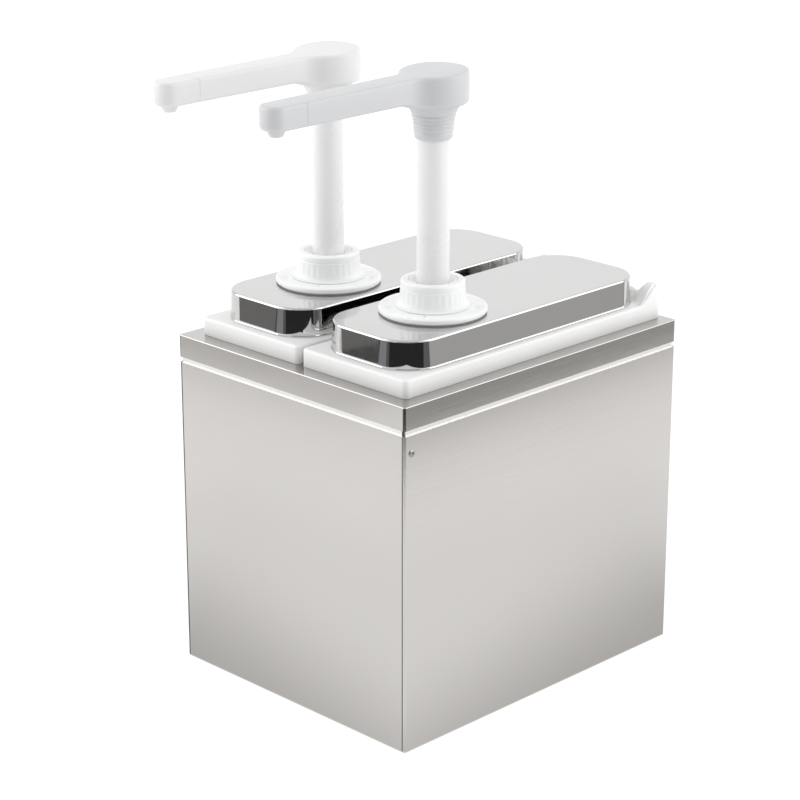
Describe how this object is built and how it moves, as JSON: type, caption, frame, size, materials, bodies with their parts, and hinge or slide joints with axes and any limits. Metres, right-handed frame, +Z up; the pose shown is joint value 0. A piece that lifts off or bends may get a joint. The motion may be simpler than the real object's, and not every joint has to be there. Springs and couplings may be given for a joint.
{
  "type": "condiment pump dispenser",
  "caption": "Steel case with twin lift-out plastic containers, domed-edge steel lids and push-down sauce pumps with swivelling spouts.",
  "frame": {"origin": "centre of the case's underside", "axes": "+Z up, spouts point along -Y at rest, the two units lie side by side along X"},
  "size_m": [0.1992, 0.2969, 0.3918],
  "materials": {
    "case_steel": "satin stainless sheet",
    "rim_steel": "brushed along its length",
    "rivet_steel": "smooth",
    "lid_steel": "mirror-polished stainless",
    "container_white": "satin moulded",
    "pump_white": "satin moulded",
    "natural_plastic": "milky natural plastic",
    "seal_grey": "soft seal",
    "spring_steel": "drawn wire",
    "ball_steel": "polished",
    "head_white": "satin moulded",
    "head_grey": "satin moulded"
  },
  "bodies": {
    "case": {"base_pan": "case_steel", "case_wrap": "case_steel", "front_panel": "case_steel", "neck_frame": "case_steel", "top_rim": "rim_steel", "rivets": "rivet_steel"},
    "container_left": {"container_left": "container_white"},
    "lid_left": {"lid_left": "lid_steel", "base_gasket_left": "seal_grey", "pump_base_left": "pump_white", "lock_nut_left": "pump_white", "cylinder_gasket_left": "seal_grey", "cylinder_left": "natural_plastic", "stem_guide_left": "pump_white", "collar_left": "pump_white", "foot_valve_left": "pump_white", "dip_tube_left": "natural_plastic", "return_spring_left": "spring_steel"},
    "inlet_ball_left": {"inlet_ball_left": "ball_steel"},
    "piston_left": {"piston_left": "pump_white", "piston_seal_left": "seal_grey"},
    "outlet_ball_left": {"outlet_ball_left": "ball_steel"},
    "head_left": {"stem_left": "pump_white", "lock_plug_left": "head_white", "spout_head_left": "head_white", "arm_end_cap_left": "head_white", "nozzle_tip_left": "head_white"},
    "container_right": {"container_right": "container_white"},
    "lid_right": {"lid_right": "lid_steel", "base_gasket_right": "seal_grey", "pump_base_right": "pump_white", "lock_nut_right": "pump_white", "cylinder_gasket_right": "seal_grey", "cylinder_right": "natural_plastic", "stem_guide_right": "pump_white", "collar_right": "pump_white", "foot_valve_right": "pump_white", "dip_tube_right": "natural_plastic", "return_spring_right": "spring_steel"},
    "inlet_ball_right": {"inlet_ball_right": "ball_steel"},
    "piston_right": {"piston_right": "pump_white", "piston_seal_right": "seal_grey"},
    "outlet_ball_right": {"outlet_ball_right": "ball_steel"},
    "head_right": {"stem_right": "pump_white", "lock_plug_right": "head_grey", "spout_head_right": "head_grey", "arm_end_cap_right": "head_grey", "nozzle_tip_right": "head_grey"}
  },
  "joints": [
    {"name": "container_lift_left", "type": "slide", "parent": "case", "child": "container_left", "axis": [0, 0, 1], "range_m": [0, 0.23]},
    {"name": "lid_lift_left", "type": "slide", "parent": "container_left", "child": "lid_left", "axis": [0, 0, 1], "range_m": [0, 0.24]},
    {"name": "inlet_ball_lift_left", "type": "slide", "parent": "lid_left", "child": "inlet_ball_left", "axis": [0, 0, 1], "range_m": [0, 0.002]},
    {"name": "pump_press_left", "type": "slide", "parent": "lid_left", "child": "piston_left", "axis": [0, 0, -1], "range_m": [0, 0.082], "stiffness_N_per_m": 100, "springref_m": -0.04, "deforming": ["return_spring_left"]},
    {"name": "outlet_ball_lift_left", "type": "slide", "parent": "piston_left", "child": "outlet_ball_left", "axis": [0, 0, 1], "range_m": [0, 0.003]},
    {"name": "spout_swivel_left", "type": "hinge", "parent": "piston_left", "child": "head_left", "pos_m": [-0.0452, -0.0437, 0.243], "axis": [0, 0, 1], "range_deg": [-180, 12]},
    {"name": "container_lift_right", "type": "slide", "parent": "case", "child": "container_right", "axis": [0, 0, 1], "range_m": [0, 0.23]},
    {"name": "lid_lift_right", "type": "slide", "parent": "container_right", "child": "lid_right", "axis": [0, 0, 1], "range_m": [0, 0.24]},
    {"name": "inlet_ball_lift_right", "type": "slide", "parent": "lid_right", "child": "inlet_ball_right", "axis": [0, 0, 1], "range_m": [0, 0.002]},
    {"name": "pump_press_right", "type": "slide", "parent": "lid_right", "child": "piston_right", "axis": [0, 0, -1], "range_m": [0, 0.082], "stiffness_N_per_m": 100, "springref_m": -0.04, "deforming": ["return_spring_right"]},
    {"name": "outlet_ball_lift_right", "type": "slide", "parent": "piston_right", "child": "outlet_ball_right", "axis": [0, 0, 1], "range_m": [0, 0.003]},
    {"name": "spout_swivel_right", "type": "hinge", "parent": "piston_right", "child": "head_right", "pos_m": [0.0452, -0.0437, 0.243], "axis": [0, 0, 1], "range_deg": [-12, 180]}
  ]
}
